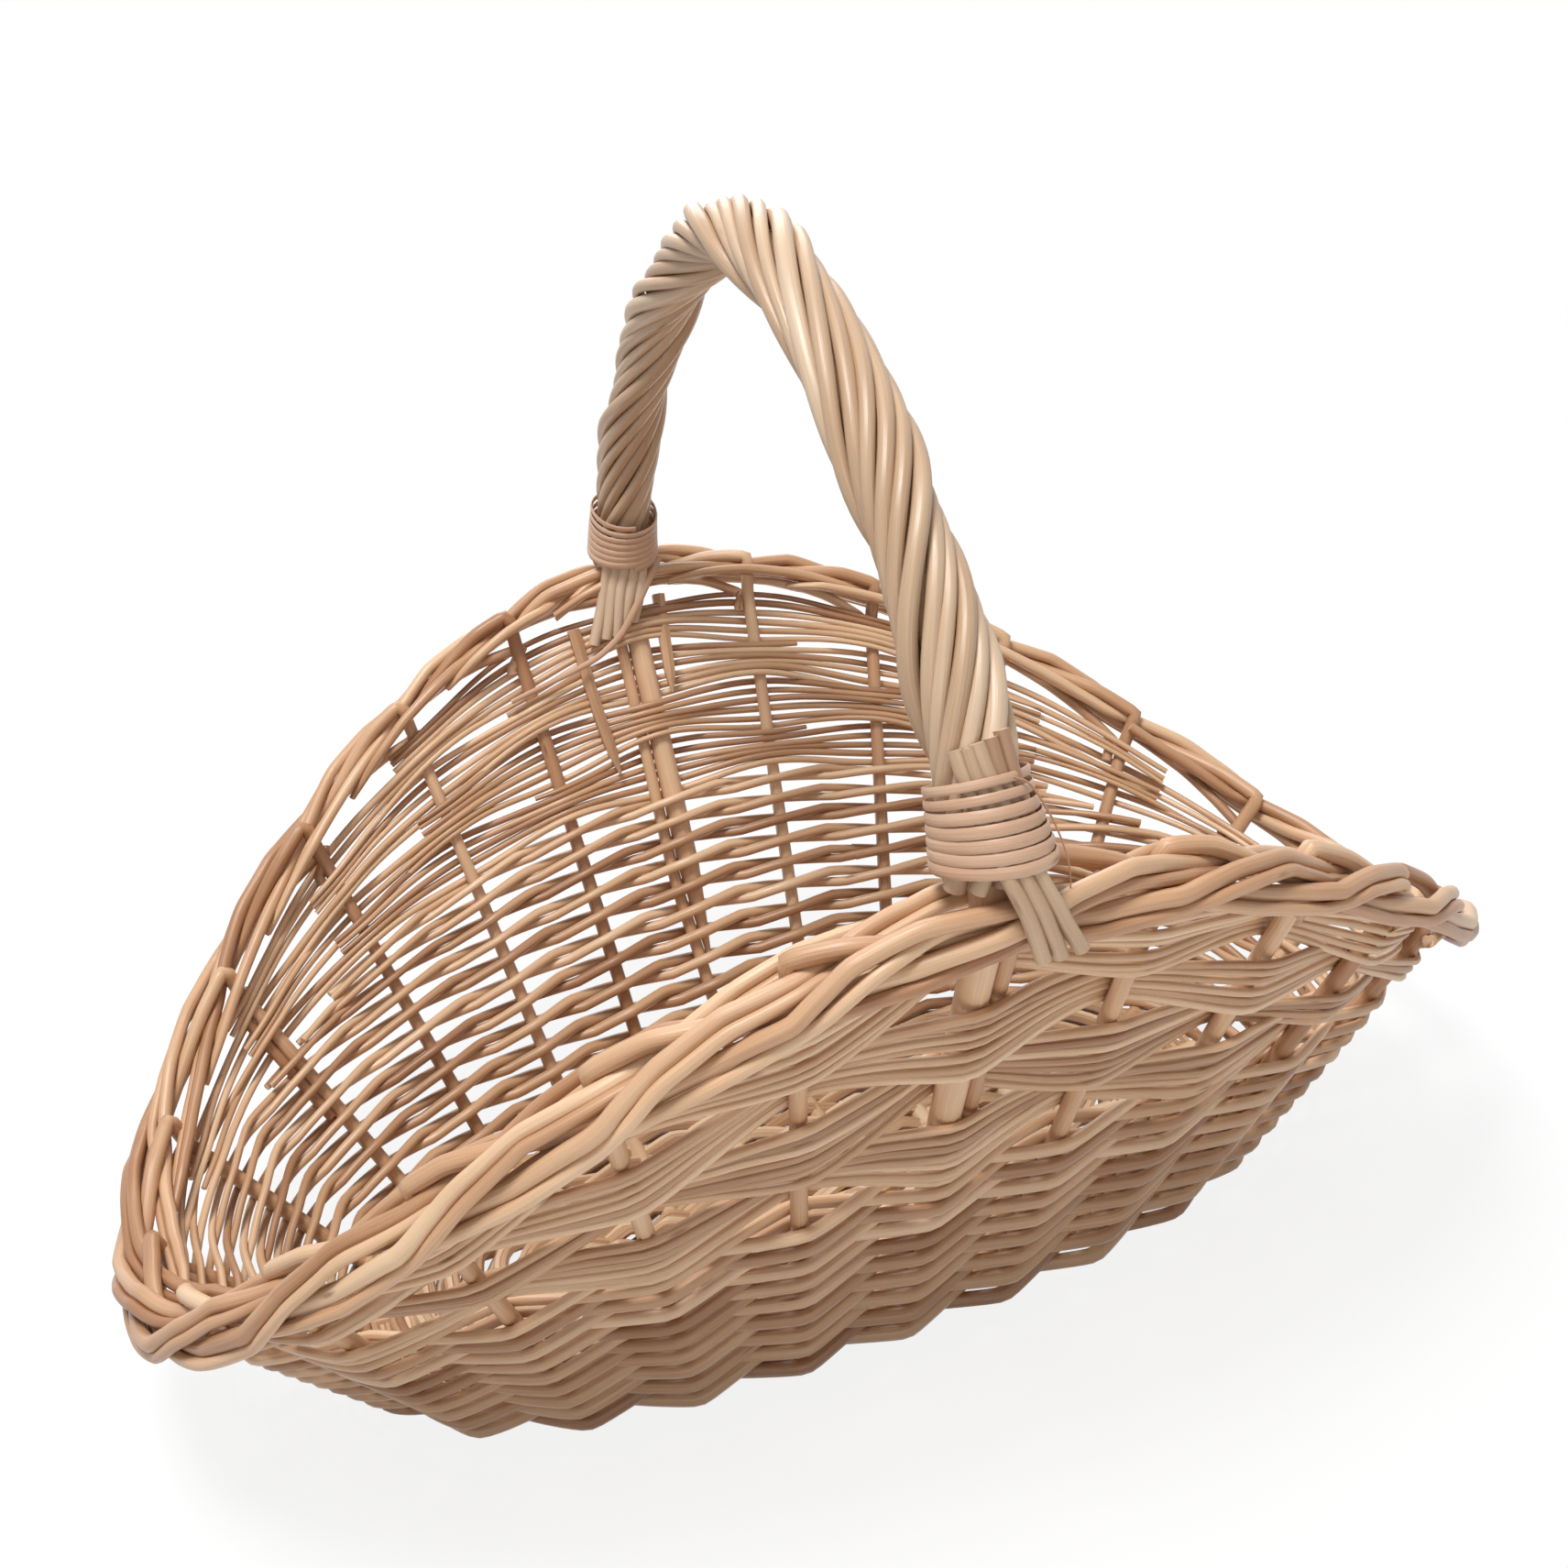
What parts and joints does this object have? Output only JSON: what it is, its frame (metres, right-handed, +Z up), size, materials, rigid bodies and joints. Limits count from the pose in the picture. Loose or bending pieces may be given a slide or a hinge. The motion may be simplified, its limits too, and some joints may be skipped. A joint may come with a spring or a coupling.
{
  "type": "wicker storage basket",
  "caption": "Boat-shaped oval basket of woven willow rods with raised long sides, a laid rope border and a fixed arched handle, for storing and carrying light things.",
  "frame": {"origin": "middle of the part's outline in plan, on the plane of the base's resting face", "axes": "+X along the basket to its right tip, -Y to the front long side, +Z up to the handle"},
  "size_m": [0.3751, 0.2711, 0.2775],
  "materials": {
    "stake_willow": "satin peeled willow rod",
    "weaver_willow": "satin peeled willow weaver",
    "band_willow": "satin peeled willow weaver, a little darker",
    "base_willow": "matte peeled willow",
    "handle_willow": "satin pale willow rod",
    "skein_willow": "satin split willow skein"
  },
  "bodies": {
    "root": {"base_cross_stick_1": "base_willow", "base_cross_stick_2": "base_willow", "base_cross_stick_3": "base_willow", "base_cross_stick_4": "base_willow", "base_cross_stick_5": "base_willow", "base_cross_stick_6": "base_willow", "base_long_stick_1": "base_willow", "base_long_stick_2": "base_willow", "base_panel": "base_willow", "far_skein_binding": "skein_willow", "handle_bow": "handle_willow", "handle_strand_1": "handle_willow", "handle_strand_2": "handle_willow", "handle_strand_3": "handle_willow", "handle_strand_4": "handle_willow", "near_skein_binding": "skein_willow", "paired_lower_wall": "weaver_willow", "side_stake_01": "stake_willow", "side_stake_02": "stake_willow", "side_stake_03": "stake_willow", "side_stake_04": "stake_willow", "side_stake_05": "stake_willow", "side_stake_06": "stake_willow", "side_stake_07": "stake_willow", "side_stake_08": "stake_willow", "side_stake_09": "stake_willow", "side_stake_10": "stake_willow", "side_stake_11": "stake_willow", "side_stake_12": "stake_willow", "side_stake_13": "stake_willow", "side_stake_14": "stake_willow", "side_stake_15": "stake_willow", "side_stake_16": "stake_willow", "side_stake_17": "stake_willow", "side_stake_18": "stake_willow", "side_stake_19": "stake_willow", "side_stake_20": "stake_willow", "side_stake_21": "stake_willow", "side_stake_22": "stake_willow", "side_stake_23": "stake_willow", "side_stake_24": "stake_willow", "woven_band_1": "band_willow", "woven_band_2": "band_willow", "woven_band_3": "band_willow", "woven_band_4": "band_willow"}
  },
  "joints": []
}
